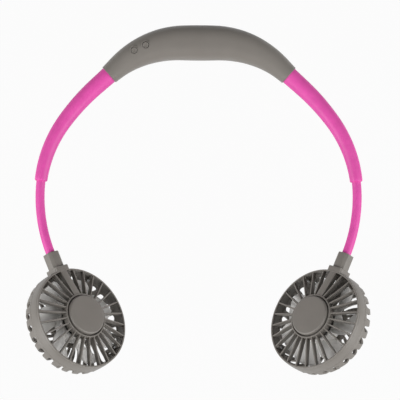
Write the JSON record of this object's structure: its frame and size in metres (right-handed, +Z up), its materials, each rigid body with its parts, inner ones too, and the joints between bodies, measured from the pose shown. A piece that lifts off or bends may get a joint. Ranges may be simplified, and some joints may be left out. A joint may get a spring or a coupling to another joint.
{
  "type": "electric neck fan",
  "caption": "Neck fan: an arched battery housing, two bendable silicone arms and two round caged fan heads on swivels, lying flat.",
  "frame": {"origin": "middle of the housing's flat underside, on the table", "axes": "+X to the wearer's side with no buttons, +Y to the middle of the arch, away from the fan heads, +Z up from the table"},
  "size_m": [0.2366, 0.2432, 0.0616],
  "materials": {
    "gray_plastic": "moulded warm gray plastic with a soft sheen",
    "button_plastic": "moulded warm gray plastic, a little darker",
    "pink_silicone": "smooth bright pink silicone",
    "pale_blade": "moulded light gray plastic",
    "pale_plastic": "unpainted off-white plastic",
    "black_plastic": "dark moulded plastic",
    "board": "green circuit board",
    "cell_wrap": "shrink wrap over a metal can",
    "steel": "plain bright steel",
    "soft_wire": "annealed aluminium wire",
    "motor_can": "plated steel can",
    "black_lead": "insulated lead",
    "red_lead": "insulated lead"
  },
  "bodies": {
    "neck_housing": {"upper_shell": "gray_plastic", "lower_shell": "gray_plastic", "battery_cell": "cell_wrap", "battery_cradle": "pale_plastic", "circuit_board": "board", "tact_switches": "black_plastic", "charging_inlet": "steel", "housing_screws": "steel", "battery_leads": "red_lead", "left_arm_anchor": "black_plastic", "right_arm_anchor": "black_plastic"},
    "power_key": {"power_button": "button_plastic"},
    "speed_key": {"speed_button": "button_plastic"},
    "left_arm": {"left_arm_sleeve": "pink_silicone"},
    "left_hose_mid": {"left_hose": "pink_silicone", "left_gooseneck_core": "soft_wire", "left_hose_leads": "black_lead"},
    "left_hose_end": {"left_swivel_ferrule": "steel"},
    "left_fan": {"left_fan_neck": "gray_plastic", "left_casing_ring": "gray_plastic", "left_front_grille": "gray_plastic", "left_hub_cap": "gray_plastic", "left_rear_cover": "gray_plastic", "left_motor": "motor_can", "left_motor_leads": "black_lead", "left_case_screws": "steel", "left_motor_screws": "steel"},
    "left_impeller": {"left_motor_shaft": "steel", "left_impeller": "pale_blade"},
    "right_arm": {"right_arm_sleeve": "pink_silicone"},
    "right_hose_mid": {"right_hose": "pink_silicone", "right_gooseneck_core": "soft_wire", "right_hose_leads": "black_lead"},
    "right_hose_end": {"right_swivel_ferrule": "steel"},
    "right_fan": {"right_fan_neck": "gray_plastic", "right_casing_ring": "gray_plastic", "right_front_grille": "gray_plastic", "right_hub_cap": "gray_plastic", "right_rear_cover": "gray_plastic", "right_motor": "motor_can", "right_motor_leads": "black_lead", "right_case_screws": "steel", "right_motor_screws": "steel"},
    "right_impeller": {"right_motor_shaft": "steel", "right_impeller": "pale_blade"}
  },
  "joints": [
    {"name": "left_arm_flex", "type": "hinge", "parent": "neck_housing", "child": "left_arm", "pos_m": [-0.0794, -0.03759, 0.01105], "axis": [0.12, -0.1333, -0.9838], "range_deg": [-8, 15], "deforming": ["left_arm_sleeve"]},
    {"name": "left_hose_bend", "type": "hinge", "parent": "left_arm", "child": "left_hose_mid", "pos_m": [-0.11101, -0.11126, 0.01717], "axis": [-0.12, 0.1333, 0.9838], "range_deg": [-40, 40], "deforming": ["left_hose", "left_gooseneck_core", "left_hose_leads"]},
    {"name": "left_hose_tilt", "type": "hinge", "parent": "left_hose_mid", "child": "left_hose_end", "pos_m": [-0.10732, -0.13565, 0.02093], "axis": [0.9583, 0.2743, 0.0797], "range_deg": [-40, 40], "deforming": ["left_hose", "left_gooseneck_core", "left_hose_leads"]},
    {"name": "left_head_swivel", "type": "hinge", "parent": "left_hose_end", "child": "left_fan", "pos_m": [-0.1031, -0.14807, 0.02312], "axis": [-0.3741, 0.9118, -0.1691], "range_deg": [-136.7, 43.3]},
    {"name": "left_impeller_spin", "type": "hinge", "parent": "left_fan", "child": "left_impeller", "pos_m": [-0.0841, -0.19439, 0.03172], "axis": [0.587, 0.374, 0.7181], "continuous": true},
    {"name": "right_arm_flex", "type": "hinge", "parent": "neck_housing", "child": "right_arm", "pos_m": [0.0794, -0.03759, 0.01105], "axis": [0.12, 0.1333, 0.9838], "range_deg": [-8, 15], "deforming": ["right_arm_sleeve"]},
    {"name": "right_hose_bend", "type": "hinge", "parent": "right_arm", "child": "right_hose_mid", "pos_m": [0.11101, -0.11126, 0.01717], "axis": [-0.12, -0.1333, -0.9838], "range_deg": [-40, 40], "deforming": ["right_hose", "right_gooseneck_core", "right_hose_leads"]},
    {"name": "right_hose_tilt", "type": "hinge", "parent": "right_hose_mid", "child": "right_hose_end", "pos_m": [0.10732, -0.13565, 0.02093], "axis": [0.9583, -0.2743, -0.0797], "range_deg": [-40, 40], "deforming": ["right_hose", "right_gooseneck_core", "right_hose_leads"]},
    {"name": "right_head_swivel", "type": "hinge", "parent": "right_hose_end", "child": "right_fan", "pos_m": [0.1031, -0.14807, 0.02312], "axis": [-0.3741, -0.9118, 0.1691], "range_deg": [-136.7, 43.3]},
    {"name": "right_impeller_spin", "type": "hinge", "parent": "right_fan", "child": "right_impeller", "pos_m": [0.0841, -0.19439, 0.03172], "axis": [-0.587, 0.374, 0.7181], "continuous": true},
    {"name": "power_press", "type": "slide", "parent": "neck_housing", "child": "power_key", "axis": [0, 0, -1], "range_m": [0, 0.0005], "stiffness_N_per_m": 500},
    {"name": "speed_press", "type": "slide", "parent": "neck_housing", "child": "speed_key", "axis": [0, 0, -1], "range_m": [0, 0.0005], "stiffness_N_per_m": 500}
  ]
}
